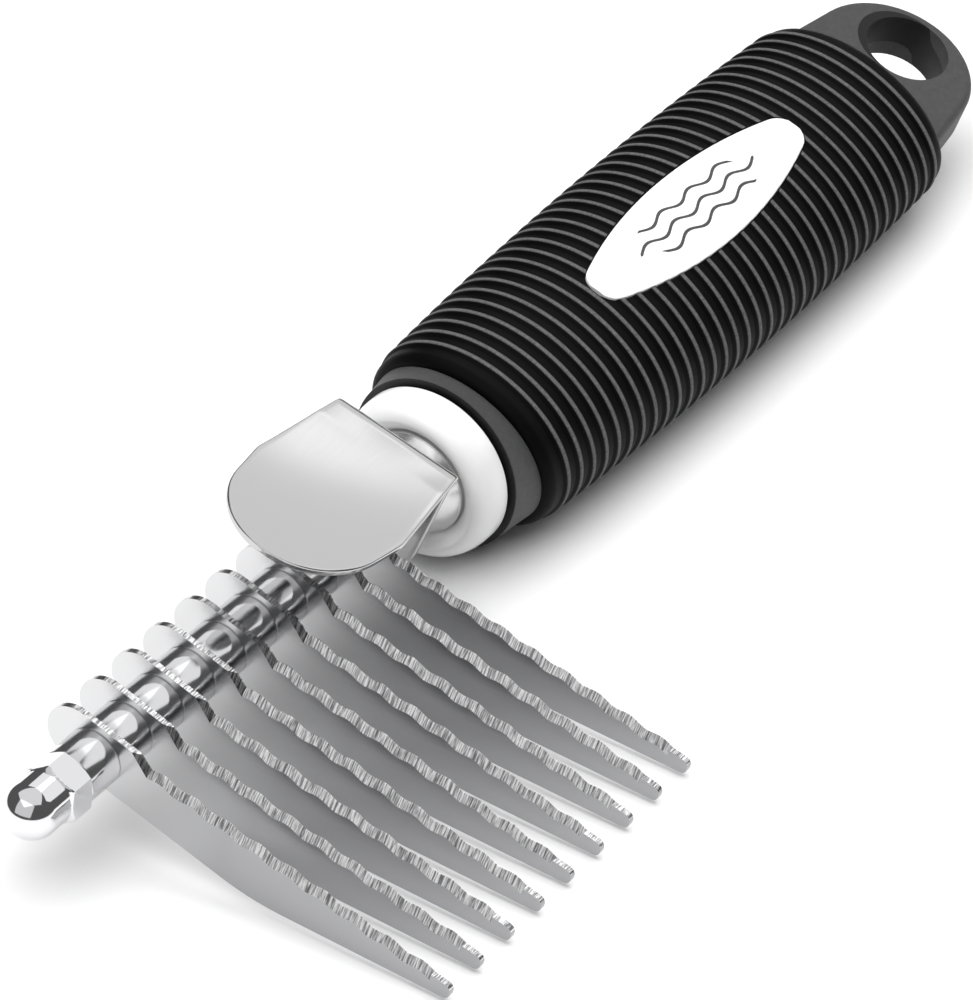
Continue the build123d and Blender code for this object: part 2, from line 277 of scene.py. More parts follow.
# ---- finishes -----------------------------------------------------------------------------
@dataclass(frozen=True)
class MaterialNodes:
    """A material's nodes, and the few steps that the finishes are made of."""

    tree: bpy.types.NodeTree
    shader: bpy.types.Node
    roughness: float  # the finish's own, which roughen() takes shares of

    def add(self, kind: str, links: dict | None = None, **settings: object) -> bpy.types.Node:
        """Adds a node with its settings and links.

        Args:
            kind: the node's type name.
            links: input name or number, to the output socket that feeds it.
            **settings: properties of the node, or values of its inputs, spaces as underscores.

        Returns:
            The new node.
        """
        node = self.tree.nodes.new(kind)
        for key, value in settings.items():
            if hasattr(node, key):
                setattr(node, key, value)
            elif key.startswith("input_"):
                node.inputs[int(key[6:])].default_value = value
            else:
                node.inputs[key.replace("_", " ")].default_value = value
        for key, socket in (links or {}).items():
            self.tree.links.new(socket, node.inputs[key])
        return node

    def calculate(
        self, operation: str, *values: float | Socket
    ) -> Socket:
        """Adds one step of arithmetic.

        Args:
            operation: the math node's operation.
            *values: numbers, or sockets that give them.

        Returns:
            The result's socket.
        """
        links = {i: v for i, v in enumerate(values) if isinstance(v, Socket)}
        numbers = {f"input_{i}": v for i, v in enumerate(values) if i not in links}
        return self.add("ShaderNodeMath", links, operation=operation, **numbers).outputs[0]

    def noise(
        self,
        size: float,
        stretch: tuple[float, float, float] = (1, 1, 1),
        turn: float = 0.0,
        **settings: float,
    ) -> Socket:
        """Noise over object coordinates, stretched and then turned about X.

        Args:
            size: of its features, in millimetres.
            stretch: how much finer the pattern is along each axis.
            turn: angle about X, in radians.
            **settings: other inputs of the noise.

        Returns:
            The noise, from 0 to 1.
        """
        place = self.add("ShaderNodeTexCoord")
        mapping = self.add(
            "ShaderNodeMapping",
            {"Vector": place.outputs["Object"]},
            Rotation=(turn, 0, 0),
            Scale=stretch,
        )
        links = {"Vector": mapping.outputs["Vector"]}
        noise = self.add("ShaderNodeTexNoise", links, Scale=per_metre(size), **settings)
        return noise.outputs["Fac"]

    def offset(self, point: tuple) -> Socket:
        """Object coordinates counted from a point.

        Args:
            point: where they are zero, in metres.

        Returns:
            The socket that gives them, in metres.
        """
        links = {0: self.add("ShaderNodeTexCoord").outputs["Object"]}
        moved = self.add("ShaderNodeVectorMath", links, operation="SUBTRACT", input_1=point)
        return moved.outputs[0]

    def blend(
        self,
        share: Socket,
        low: str | Socket,
        high: str | Socket,
    ) -> Socket:
        """Mixes two colours by a pattern.

        Args:
            share: the pattern, from 0 to 1.
            low: hex colour or socket at 0.
            high: hex colour or socket at 1.

        Returns:
            The mixed colour.
        """
        links, settings = {"Factor": share}, {}
        for number, colour in ((MIX_LOW, low), (MIX_HIGH, high)):
            if isinstance(colour, str):
                settings[f"input_{number}"] = linear(colour)
            else:
                links[number] = colour
        mix = self.add("ShaderNodeMix", links, data_type="RGBA", **settings)
        return mix.outputs[MIX_RESULT]

    def paint(self, colour: Socket) -> None:
        """Gives the shader its colour."""
        self.tree.links.new(colour, self.shader.inputs["Base Color"])

    def ramp(
        self, value: Socket, low: float, high: float, smooth: bool = False
    ) -> Socket:
        """Stretches a value so that it runs from 0 at low to 1 at high, and stops there.

        Args:
            value: the value.
            low: where the ramp starts.
            high: where it ends.
            smooth: whether it eases in and out.

        Returns:
            The ramp, from 0 to 1.
        """
        kind = "SMOOTHSTEP" if smooth else "LINEAR"
        ramp = self.add(
            "ShaderNodeMapRange",
            {"Value": value},
            From_Min=low,
            From_Max=high,
            interpolation_type=kind,
        )
        return ramp.outputs["Result"]

    def roughen(self, pattern: Socket, low: float, high: float) -> None:
        """Varies the roughness by a pattern.

        Args:
            pattern: from 0 to 1.
            low: share of the finish's roughness at 0.
            high: share at 1.
        """
        spread = self.add(
            "ShaderNodeMapRange",
            {"Value": pattern},
            To_Min=self.roughness * low,
            To_Max=self.roughness * high,
        )
        self.tree.links.new(spread.outputs["Result"], self.shader.inputs["Roughness"])

    def bump(self, height: Socket, depth: float, strength: float) -> None:
        """Adds a bump of a real depth to the shader.

        Args:
            height: the pattern, from 0 to 1.
            depth: what 1 stands for, in millimetres.
            strength: share of the bump that shows.
        """
        bump = self.add(
            "ShaderNodeBump", {"Height": height}, Strength=strength, Distance=depth * MM
        )
        self.tree.links.new(bump.outputs["Normal"], self.shader.inputs["Normal"])


@dataclass(frozen=True)
class Finish:
    """A surface finish: a principled shader, and the detail that a subclass adds.

    Sizes and depths of patterns are in millimetres.
    """

    name: str
    colour: str
    roughness: float
    metallic: float = 0.0
    ior: float = 1.5

    def make(self) -> bpy.types.Material:
        """Builds the material.

        Returns:
            The new material.
        """
        material = bpy.data.materials.new(self.name)
        material.use_nodes = True
        shader = material.node_tree.nodes["Principled BSDF"]
        shader.inputs["Base Color"].default_value = linear(self.colour)
        shader.inputs["Roughness"].default_value = self.roughness
        shader.inputs["Metallic"].default_value = self.metallic
        shader.inputs["IOR"].default_value = self.ior
        self.detail(MaterialNodes(material.node_tree, shader, self.roughness))
        return material

    def detail(self, nodes: MaterialNodes) -> None:
        """Adds the finish's own pattern. The plain finish has none."""


@dataclass(frozen=True)
class ChromePlate(Finish):
    """Bright chrome on turned steel: a mirror with faint turning marks round the rod."""

    mark: float = 0.25  # between turning marks
    mark_depth: float = 0.0006
    smear: float = 3.0

    def detail(self, nodes: MaterialNodes) -> None:
        """Turning marks, fine along the rod and long round it, and slow smears.

        Args:
            nodes: the material's nodes.
        """
        marks = nodes.noise(self.mark, (1, 0.08, 0.08), Detail=3.0)
        nodes.bump(marks, self.mark_depth, strength=0.6)
        nodes.roughen(nodes.noise(self.smear), low=0.6, high=1.6)


@dataclass(frozen=True)
class GroundSteel(Finish):
    """Stainless blade steel: lengthwise polish on the faces, a coarse grind on bevel and rim.

    The grind's lines run across the bevel and the rim, bright beside dark, as a wheel leaves
    them.
    """

    roll: float = 0.0  # of the blades about the rod
    root_y: float = 0.0  # the rod's place across the blades, in metres
    tone_length: float = 24.0  # over which the painted reflection darkens the faces from the rod outwards
    # face colour where the painted reflection is darkest
    tip_colour: str = "#A2A2A4"
    cloud: float = 14.0
    cloud_share: float = 0.18  # of the painted darkening that clouds add
    grind_dark: str = "#767678"
    grind_light: str = "#F6F6F6"
    polish: float = 0.35  # between polish lines
    grind: float = 0.24  # between grind lines
    grind_span: tuple = (0.36, 0.62)  # of the noise, from dark to light
    line_depth: float = 0.004
    bevel_lean: float = 0.35  # least slant to the sky of a ground bevel's or rim's normal

    def detail(self, nodes: MaterialNodes) -> None:
        """Polish lines everywhere, grind lines where the surface leans towards the sky, and a
        painted reflection that darkens the faces away from the rod.

        Args:
            nodes: the material's nodes.
        """
        brushed = nodes.noise(
            self.polish, (1, 0.03, 1), -self.roll, Detail=4.0, Roughness=0.6
        )
        grind = nodes.noise(self.grind, (0.12, 1, 0.02), -self.roll, Roughness=0.75)
        lines = nodes.ramp(grind, *self.grind_span)
        place = nodes.add("ShaderNodeTexCoord")
        slant = nodes.add("ShaderNodeSeparateXYZ", {"Vector": place.outputs["Normal"]})
        bevel = nodes.calculate("GREATER_THAN", slant.outputs["Z"], self.bevel_lean)
        reach = nodes.add("ShaderNodeSeparateXYZ", {"Vector": place.outputs["Object"]})
        # painted reflection: the faces darken from the rod outwards, as if reflecting something
        # dark, with random clouds
        tip_y = self.root_y - self.tone_length * MM
        painted_reflection_ramp = nodes.ramp(reach.outputs["Y"], self.root_y, tip_y, smooth=True)
        clouds = nodes.noise(self.cloud)
        painted_reflection_share = nodes.calculate("MULTIPLY_ADD", clouds, self.cloud_share, painted_reflection_ramp)
        face = nodes.blend(painted_reflection_share, self.colour, self.tip_colour)
        ground = nodes.blend(lines, self.grind_dark, self.grind_light)
        nodes.paint(nodes.blend(bevel, face, ground))
        nodes.roughen(brushed, low=0.85, high=1.4)
        depth = nodes.calculate("MULTIPLY_ADD", bevel, lines, brushed)
        nodes.bump(depth, self.line_depth, strength=0.5)


@dataclass(frozen=True)
class SatinSheet(Finish):
    """Pressed stainless sheet, satin polished: soft straight polish lines and faint waves."""

    polish: float = 0.18
    wave: float = 9.0
    wave_depth: float = 0.012

    def detail(self, nodes: MaterialNodes) -> None:
        """Fine polish lines along the rod, and long waves from pressing.

        Args:
            nodes: the material's nodes.
        """
        lines = nodes.noise(self.polish, (0.02, 1, 1), Detail=3.0)
        waves = nodes.noise(self.wave, Detail=1.0)
        nodes.roughen(lines, low=0.8, high=1.25)
        nodes.bump(waves, self.wave_depth, strength=0.6)


@dataclass(frozen=True)
class MouldedPlastic(Finish):
    """Injection-moulded plastic: a faint spark-eroded grain and slow clouds of colour."""

    grain: float = 0.35
    grain_depth: float = 0.004
    cloud: str = "#FFFFFF"  # colour of the slow clouds
    cloud_size: float = 4.0

    def detail(self, nodes: MaterialNodes) -> None:
        """Grain as bump and roughness, and clouds between two near colours.

        Args:
            nodes: the material's nodes.
        """
        grain = nodes.noise(self.grain, Detail=3.0)
        clouds = nodes.noise(self.cloud_size, Detail=6.0, Roughness=0.7)
        mixed = nodes.blend(clouds, self.colour, self.cloud)
        nodes.paint(mixed)
        nodes.roughen(grain, low=0.85, high=1.15)
        nodes.bump(grain, self.grain_depth, strength=0.7)


@dataclass(frozen=True)
class HandlePlastic(MouldedPlastic):
    """Grey moulded nylon, with painted shade in the gap at the front and in the hole."""

    gap_end: float = 0.0  # end of the gap along the rod, in metres
    hole: tuple = (0.0, 0.0, 0.0)  # the hole's middle, in metres
    hole_radius: float = 6.3
    # colour of the painted shade in the front gap and the hole
    painted_shade: str = "#040404"

    def detail(self, nodes: MaterialNodes) -> None:
        """Paints shade on what is ahead of the gap's end, or seen from above lies in the hole.

        Args:
            nodes: the material's nodes.
        """
        super().detail(nodes)
        place = nodes.add("ShaderNodeTexCoord")
        axes = nodes.add("ShaderNodeSeparateXYZ", {"Vector": place.outputs["Object"]})
        ahead = nodes.calculate("LESS_THAN", axes.outputs["X"], self.gap_end)
        links = {0: nodes.offset(self.hole)}
        flat = nodes.add(
            "ShaderNodeVectorMath", links, operation="MULTIPLY", input_1=(1, 1, 0)
        )
        away = nodes.add("ShaderNodeVectorMath", {0: flat.outputs[0]}, operation="LENGTH")
        inside = nodes.calculate("LESS_THAN", away.outputs["Value"], self.hole_radius * MM)
        # painted shade: the gap at the front and the hole's wall are darkened to near black
        dark = nodes.calculate("MAXIMUM", ahead, inside)
        plain = nodes.shader.inputs["Base Color"].links[0].from_socket
        nodes.paint(nodes.blend(dark, plain, self.painted_shade))


@dataclass(frozen=True)
class RibbedRubber(Finish):
    """Moulded thermoplastic rubber: black, with a painted grey highlight along each rib's crest.
    """

    # colour of the painted highlight along the crests
    crest: str = "#808080"
    highlight_from: float = 0.76  # share of a rib's height where the painted highlight starts
    specular: float = 0.1
    grain: float = 0.3
    grain_depth: float = 0.006

    def detail(self, nodes: MaterialNodes) -> None:
        """The rib height stored on the mesh paints a highlight along the crests, and grain breaks
        it up.

        Args:
            nodes: the material's nodes.
        """
        grain = nodes.noise(self.grain, Detail=4.0)
        height = nodes.add("ShaderNodeAttribute", attribute_name="rib")
        # painted highlight: each crest is lightened as if it caught the light
        crest = nodes.ramp(height.outputs["Fac"], self.highlight_from, 1.0, smooth=True)
        painted_highlight = nodes.calculate("MULTIPLY", crest, grain)
        nodes.shader.inputs["Specular IOR Level"].default_value = self.specular
        nodes.paint(nodes.blend(painted_highlight, self.colour, self.crest))
        nodes.roughen(grain, low=0.85, high=1.2)
        nodes.bump(grain, self.grain_depth, strength=0.6)


@dataclass(frozen=True)
class PrintedPlate(Finish):
    """Glossy moulded plate with a print: three combed strands, each a thin wavy line."""

    centre: tuple = (0.0, 0.0, 0.0)  # the plate's middle, in metres
    turn: float = 0.0  # of the plate about the rod
    ink: str = "#3A3A3A"
    strands: int = 3
    strand_gap: float = 2.3
    strand_width: float = 0.24  # half of it
    strand_wave: float = 0.5
    strand_length: float = 7.0  # of one wave
    strand_reach: float = 15.0  # half the print's length
    strand_taper: float = 1.6  # how much shorter an outer strand is, per millimetre across
    grain: float = 0.6
    grain_depth: float = 0.002

    def detail(self, nodes: MaterialNodes) -> None:
        """Ink where the height over a sine, wrapped to the strands' gap, is almost zero.

        Args:
            nodes: the material's nodes.
        """
        level = nodes.add(
            "ShaderNodeMapping",
            {"Vector": nodes.offset(self.centre)},
            Rotation=(-self.turn, 0, 0),
            Scale=(1 / MM, 1 / MM, 1 / MM),
        )
        axes = nodes.add("ShaderNodeSeparateXYZ", {"Vector": level.outputs["Vector"]})
        along, across = axes.outputs["X"], axes.outputs["Y"]
        phase = nodes.calculate("MULTIPLY", along, 2 * np.pi / self.strand_length)
        wave = nodes.calculate("SINE", phase)
        lifted = nodes.calculate("MULTIPLY_ADD", wave, -self.strand_wave, across)
        half_gap = self.strand_gap / 2
        from_strand = nodes.calculate(
            "ABSOLUTE", nodes.calculate("WRAP", lifted, half_gap, -half_gap)
        )
        from_middle = nodes.calculate("ABSOLUTE", lifted)
        thin = nodes.calculate("LESS_THAN", from_strand, self.strand_width)
        in_rows = nodes.calculate("LESS_THAN", from_middle, self.strands * half_gap)
        reach = nodes.calculate(
            "MULTIPLY_ADD", from_middle, -self.strand_taper, self.strand_reach
        )
        in_length = nodes.calculate("LESS_THAN", nodes.calculate("ABSOLUTE", along), reach)
        inked = nodes.calculate("MULTIPLY", nodes.calculate("MULTIPLY", thin, in_rows), in_length)
        nodes.paint(nodes.blend(inked, self.colour, self.ink))
        grain = nodes.noise(self.grain)
        nodes.roughen(grain, low=0.8, high=1.3)
        nodes.bump(grain, self.grain_depth, strength=0.5)


def dress(piece: bpy.types.Object, material: bpy.types.Material) -> None:
    """Gives a piece one material, in place of any it had."""
    piece.data.materials.clear()
    piece.data.materials.append(material)


def finish_piece(
    piece: bpy.types.Object, material: bpy.types.Material, body: Body, slot: str, *nodes: str
) -> None:
    """Dresses a new piece, rides it on its body and names what it stands for.

    Args:
        piece: the new piece.
        material: its material.
        body: the body that carries it.
        slot: the record's slot that its finish comes from; not used.
        *nodes: CAD nodes that it replaces.
    """
    dress(piece, material)
    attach(piece, body.value)
    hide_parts(*nodes)
    LOG.info("%s rides %s and stands for %s", piece.name, body.value, ", ".join(nodes))


# ---- nut, spacers and rod -----------------------------------------------------------------
@dataclass
class ClampStack:
    """Domed nut, ten spacers and the rod that they sit on."""

    rod: RodFrame
    nodes: dict
    spacer_radius: float = 4.05
    spacer_length: float = 5.9
    spacer_edge: float = 0.22
    bore_radius: float = 2.55
    bore_depth: float = 8.2
    hex_flats: float = 8.0
    hex_height: float = 4.0
    hex_turn: float = 15.5
    hex_chamfer: float = 0.45
    dome_radius: float = 3.85
    dome_foot: float = 0.12  # round where the dome meets the hexagon
    nut_height: float = 11.0
    flats_from: float = 0.5  # first row of the flats, over the seat
    row_gap: float = 0.05  # between the flats' last row and the chamfer's first
    pole_radius: float = 0.02  # at which the bore's end closes
    segments: int = 192
    spacer_segments: int = 96

    def spacer_points(self) -> np.ndarray:
        """A tube with rounded ends: rings of a closed profile round the rod.

        Returns:
            Points of one spacer that starts at zero, in millimetres.
        """
        edge, length, radius = self.spacer_edge, self.spacer_length, self.spacer_radius
        profile = np.concatenate(
            [
                [(0, self.bore_radius)],
                arc((edge, radius - edge), edge, 180, 90, 6),
                arc((length - edge, radius - edge), edge, 90, 0, 6),
                [(length, self.bore_radius)],
            ]
        )
        return lathe(profile, self.spacer_segments)

    def nut_points(self) -> np.ndarray:
        """A hexagon under a dome, both turned about the rod.

        The hexagon's radius at an angle is half its flats over the cosine of the angle from
        the nearest flat's middle, and is cut where the chamfers' cone is smaller.

        Returns:
            Points of the nut with its seat at zero, in millimetres.
        """
        corner = self.hex_flats / 2 / np.cos(np.pi / 6)
        start = np.radians(self.hex_turn)
        angle = np.linspace(0, 2 * np.pi, self.segments, endpoint=False)
        from_flat = (angle % (np.pi / 3)) - np.pi / 6
        hexagon = self.hex_flats / 2 / np.cos(from_flat)
        top, cut = -self.hex_height, self.hex_chamfer
        seat_chamfer = np.linspace(0, -cut / 2, 4)
        flats = np.linspace(-self.flats_from, top + cut + self.row_gap, 6)
        top_chamfer = np.linspace(top + cut, top, 7)
        along = np.concatenate([seat_chamfer, flats, top_chamfer])
        cone = np.interp(
            -along,
            [0, cut / 2, -top - cut, -top],
            [corner - cut, corner, corner, self.hex_flats / 2],
        )
        sides = lathe(np.stack([along, np.ones_like(along)], 1), self.segments, start)
        radius = np.minimum(hexagon[None, :], cone[:, None])
        sides[..., 1:] *= radius[..., None]
        bore_end = [(-self.bore_depth, self.pole_radius), (-self.bore_depth, self.bore_radius)]
        bore = np.array([*bore_end, (0, self.bore_radius)])
        centre = -self.nut_height + self.dome_radius
        neck = [
            (top, self.dome_radius + self.dome_foot),
            (top - self.dome_foot, self.dome_radius),
        ]
        # the dome stops just short of its pole, where one small face closes it
        dome = arc((centre, 0), self.dome_radius, 90, 179.7, 40)
        outer = np.concatenate([neck, [((top + centre) / 2, self.dome_radius)], dome])
        inside, outside = (lathe(part, self.segments, start) for part in (bore, outer))
        return np.concatenate([inside, sides, outside])

    def build(self) -> None:
        """Makes the nut and the spacers, and dresses the rod."""
        chrome = ChromePlate("chrome_plated_nut", "#E6E6E8", 0.06, 1.0).make()
        tube = ChromePlate("chrome_plated_spacer", "#DEDEE0", 0.12, 1.0).make()
        seat = np.array([-self.spacer_length, 0, 0])
        nut_points = self.rod.place(self.nut_points() + seat)
        nut = make_piece("domed_nut", nut_points, sharp=22, flip=True)
        finish_piece(nut, chrome, Body.NUT, "nut_chrome", "dome_nut")
        first = self.rod.place(self.spacer_points())
        names = ["front_spacer"] + [f"spacer_{i}" for i in range(1, 10)]
        for name in names:
            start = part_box(name)[0].x - first[..., 0].min()
            points = first + np.array([start, 0, 0])
            piece = make_piece(f"tube_{name}", points, closed_rows=True)
            body = Body.SPACER if name == "front_spacer" else Body.HANDLE
            finish_piece(piece, tube, body, "spacer_chrome", name)
        zinc = ChromePlate("zinc_plated_rod", "#B9BABC", 0.24, 1.0).make()
        dress(self.nodes["tension_rod"], zinc)


@dataclass
class BladePack:
    """Nine serrated blades, which keep their CAD meshes."""

    rod: RodFrame
    nodes: dict
    count: int = 9

    def build(self) -> None:
        """Dresses the blades in ground steel."""
        root_y = self.rod.place(np.zeros(3))[1]
        material = GroundSteel(
            "ground_blade_steel", "#DADADB", 0.2, 1.0, roll=self.rod.rod_roll, root_y=root_y
        ).make()
        for number in range(1, self.count + 1):
            dress(self.nodes[f"blade_{number}"], material)
        LOG.info("%d blades dressed", self.count)


# ---- thumb rest ---------------------------------------------------------------------------
@dataclass
class ThumbRest:
    """A dished pad over a leg, bent from one sheet with rounded edges."""

    rod: RodFrame
    rear: float = 62.2  # the leg's rear face along the rod
    sheet: float = 1.0
    pad_height: float = 14.8
    rear_half: float = 9.5
    front_half: float = 11.7
    flare: float = 16.5  # from the rear to the widest place
    corner_round: float = 0.7  # along the sheet, before and after the widest place
    corner_cuts: tuple = (0.09, 0.045, 0.095)  # half width lost before, at and after it
    nose_radius: float = 11.1
    length: float = 31.7
    dish_radius: float = 150.0
    dish_back: float = 12.7
    bend: float = 1.0  # of the sheet's middle, in the bend
    foot_radius: float = 7.4
    edge_round: float = 0.34
    least_half: float = 0.05  # half width that the nose and the foot close at
    rings: int = 170

    def centre_line(self) -> tuple[np.ndarray, np.ndarray]:
        """The sheet's middle in side view: the dish's arc, the bend, and the straight leg.

        Returns:
            Points from the nose to the foot as (x, z), and how far along the sheet each is.
        """
        middle_x = self.rear - self.dish_back
        middle_z = self.pad_height + self.dish_radius
        radius = self.dish_radius + self.sheet / 2
        leg_x = self.rear - self.sheet / 2
        pad_x = np.linspace(self.rear - self.length, leg_x - self.bend, 60)
        pad_z = middle_z - np.sqrt(radius**2 - (pad_x - middle_x) ** 2)
        bend = arc((leg_x - self.bend, pad_z[-1] - self.bend), self.bend, 85, 0, 10)
        leg_z = np.linspace(bend[-1, 1] - 0.2, -self.foot_radius, 60)
        line = np.concatenate(
            [np.stack([pad_x, pad_z], 1), bend, np.stack([leg_x + 0 * leg_z, leg_z], 1)]
        )
        steps = np.hypot(*np.diff(line, axis=0).T)
        return line, np.concatenate([[0], np.cumsum(steps)])

    def half_width(self, x: np.ndarray, z: np.ndarray) -> np.ndarray:
        """Half the sheet's width along it: a round nose, a flare, a taper and a round foot.

        Args:
            x: places of the centre line along the rod.
            z: their heights.

        Returns:
            The half width at each place.
        """
        centre = self.rear - self.length + self.nose_radius
        wide = self.rear - self.flare
        nose = np.sqrt(np.maximum(0, self.nose_radius**2 - (x - centre) ** 2))
        nose_end = touch_point((wide - centre, self.front_half), self.nose_radius, 1)
        round_by = self.corner_round
        before, at, after = (self.front_half - cut for cut in self.corner_cuts)
        pad = np.interp(
            x,
            [centre + nose_end[0], wide - round_by, wide, wide + round_by, self.rear],
            [nose_end[1], before, at, after, self.rear_half],
        )
        pad = np.where(x < centre + nose_end[0], nose, pad)
        shoulder = (self.rear_half, self.pad_height + 3 * self.sheet)
        foot_end = touch_point(shoulder, self.foot_radius, -1)
        taper = np.interp(z, [foot_end[1], shoulder[1]], [foot_end[0], shoulder[0]])
        foot = np.sqrt(np.maximum(0, self.foot_radius**2 - z**2))
        leg = np.where(z < foot_end[1], foot, taper)
        return np.where(x < self.rear - self.sheet / 2 - 0.05, pad, leg)

    def build(self) -> None:
        """Makes the sheet: closed rings across it, each a rounded slot, from nose to foot.

        A point of a ring is the centre line, plus the line's normal times a height and a rise
        of q squared over twice the dish's radius, plus q across.
        """
        line, run = self.centre_line()
        along = run[-1] * (0.5 - 0.5 * np.cos(np.linspace(0, np.pi, self.rings)))
        x = np.interp(along, run, line[:, 0])
        z = np.interp(along, run, line[:, 1])
        half = np.maximum(self.half_width(x, z), self.least_half)
        slope = np.arctan2(np.gradient(z, along), np.gradient(x, along))
        normal = np.stack([-np.sin(slope), np.cos(slope)], 1)
        edge, thick = self.edge_round, self.sheet / 2
        across = np.linspace(-1, 1, 33)[1:-1]
        turn = np.radians(np.linspace(0, 90, 5))
        inset = edge * (1 - np.sin(turn))
        drop = edge * (1 - np.cos(turn))
        # slot-shaped section: share of the half width, distance in from it, and height
        share = np.concatenate([across, np.ones(10), -across, -np.ones(10)])
        sides = np.concatenate([inset, inset[::-1]])
        inward = np.concatenate([0 * across, sides, 0 * across, sides])
        upper = np.concatenate([0 * across + thick, thick - drop])
        height = np.concatenate([upper, drop[::-1] - thick, 0 * across - thick])
        height = np.concatenate([height, drop - thick, thick - drop[::-1]])
        inner = np.maximum(half - edge, half * 0.3)[:, None]
        q = np.where(np.abs(share) < 1, share * inner, np.sign(share) * (half[:, None] - inward))
        q = np.where(np.abs(q) > half[:, None], np.sign(q) * half[:, None], q)
        pad_share = np.clip((self.rear - self.bend - x) / 4, 0, 1)[:, None]
        rise = q**2 / (2 * self.dish_radius) * pad_share
        # both ends of the sheet are thinned to a rounded rim
        from_end = np.minimum(along, along[-1] - along)
        rim = np.sqrt(np.clip(1 - (1 - np.clip(from_end / edge, 0, 1)) ** 2, 0, 1))
        rim = (thick - edge + edge * rim)[:, None] / thick
        lift = height * rim + rise
        points = np.stack(
            [x[:, None] + normal[:, :1] * lift, q, z[:, None] + normal[:, 1:] * lift], axis=-1
        )
        piece = make_piece("bent_thumb_rest", self.rod.place(points), sharp=40, flip=True)
        satin = SatinSheet("satin_pressed_steel", "#C6C6C6", 0.16, 1.0).make()
        finish_piece(piece, satin, Body.HANDLE, "thumb_rest_steel", "thumb_rest")


# ---- neck: boss and ferrule ---------------------------------------------------------------
@dataclass
class Neck:
    """Waisted boss behind the leg, and the white ferrule behind it."""

    rod: RodFrame
    boss_start: float = 62.2
    boss_end: float = 71.9
    front_radius: float = 5.2
    waist_radius: float = 5.1
    rim_radius: float = 7.5
    rim: float = 1.0
    rod_radius: float = 2.5
    ferrule_end: float = 75.5
    ferrule_radius: float = 11.9
    crest_radius: float = 9.6
    crest: float = 1.9  # how far the ferrule's lip stands ahead of the boss's rear
    band: float = 1.5  # straight stretch at the ferrule's rear
    edge: float = 0.15  # broken edges
    rim_edge: float = 0.3

    def boss_points(self) -> np.ndarray:
        """A flared tube: radius follows a circle through the front, waist and rim."""
        along = np.linspace(self.boss_start, self.boss_end - self.rim, 30)
        middle = (self.boss_start + self.boss_end) / 2
        flare = np.polyfit(
            [self.boss_start, middle, self.boss_end - self.rim],
            [self.front_radius, self.waist_radius, self.rim_radius - self.edge],
            2,
        )
        outer = np.stack([along, np.polyval(flare, along)], 1)
        edge = self.rim_edge
        band = arc((self.boss_end - self.rim + edge, self.rim_radius - edge), edge, 150, 90, 5)
        profile = np.concatenate(
            [
                [(self.boss_end, self.rod_radius), (self.boss_start, self.rod_radius)],
                [(self.boss_start, self.front_radius - self.edge)],
                outer[1:],
                band,
                [(self.boss_end, self.rim_radius)],
            ]
        )
        return lathe(profile, 160)

    def ferrule_points(self) -> np.ndarray:
        """A shallow white cup: its lip rises from the boss to a crest and rounds to the rear."""
        start = np.array([self.boss_end, self.rim_radius])
        top = np.array([self.boss_end - self.crest, self.crest_radius])
        share = np.linspace(0, 1, 16)[:, None]
        # a cubic Hermite curve from the boss's rim to the crest
        leave, arrive = np.array([-2.5, 1.25]), np.array([-0.93, 2.4])
        lip = (
            (2 * share**3 - 3 * share**2 + 1) * start
            + (share**3 - 2 * share**2 + share) * leave
            + (3 * share**2 - 2 * share**3) * top
            + (share**3 - share**2) * arrive
        )
        band = self.ferrule_end - self.band
        angle = np.radians(np.linspace(180, 90, 24))[:, None]
        shoulder_centre = np.array([band, self.crest_radius])
        size = np.array([band - top[0], self.ferrule_radius - self.crest_radius])
        shoulder = shoulder_centre + size * np.concatenate([np.cos(angle), np.sin(angle)], 1)
        profile = np.concatenate(
            [
                [(self.ferrule_end, self.rod_radius), (self.boss_end, self.rod_radius)],
                lip,
                shoulder[1:],
                [(self.ferrule_end - self.edge, self.ferrule_radius)],
                [(self.ferrule_end, self.ferrule_radius - self.edge)],
            ]
        )
        return lathe(profile, 200)

    def build(self) -> None:
        """Makes both pieces."""
        boss = make_piece("flared_boss", self.rod.place(self.boss_points()), closed_rows=True)
        cast = MouldedPlastic(
            "metallised_boss", "#C9C9C9", 0.2, 0.75, cloud="#F0F0F0", grain=0.5, cloud_size=2.0
        ).make()
        finish_piece(boss, cast, Body.HANDLE, "boss_plastic", "neck_boss")
        cup = make_piece("white_ferrule", self.rod.place(self.ferrule_points()), closed_rows=True)
        white = MouldedPlastic(
            "moulded_white_abs", "#ECECEC", 0.16, 0.0, 1.54, cloud="#F2F2F2", grain_depth=0.001
        ).make()
        finish_piece(cup, white, Body.HANDLE, "ferrule_plastic", "ferrule")


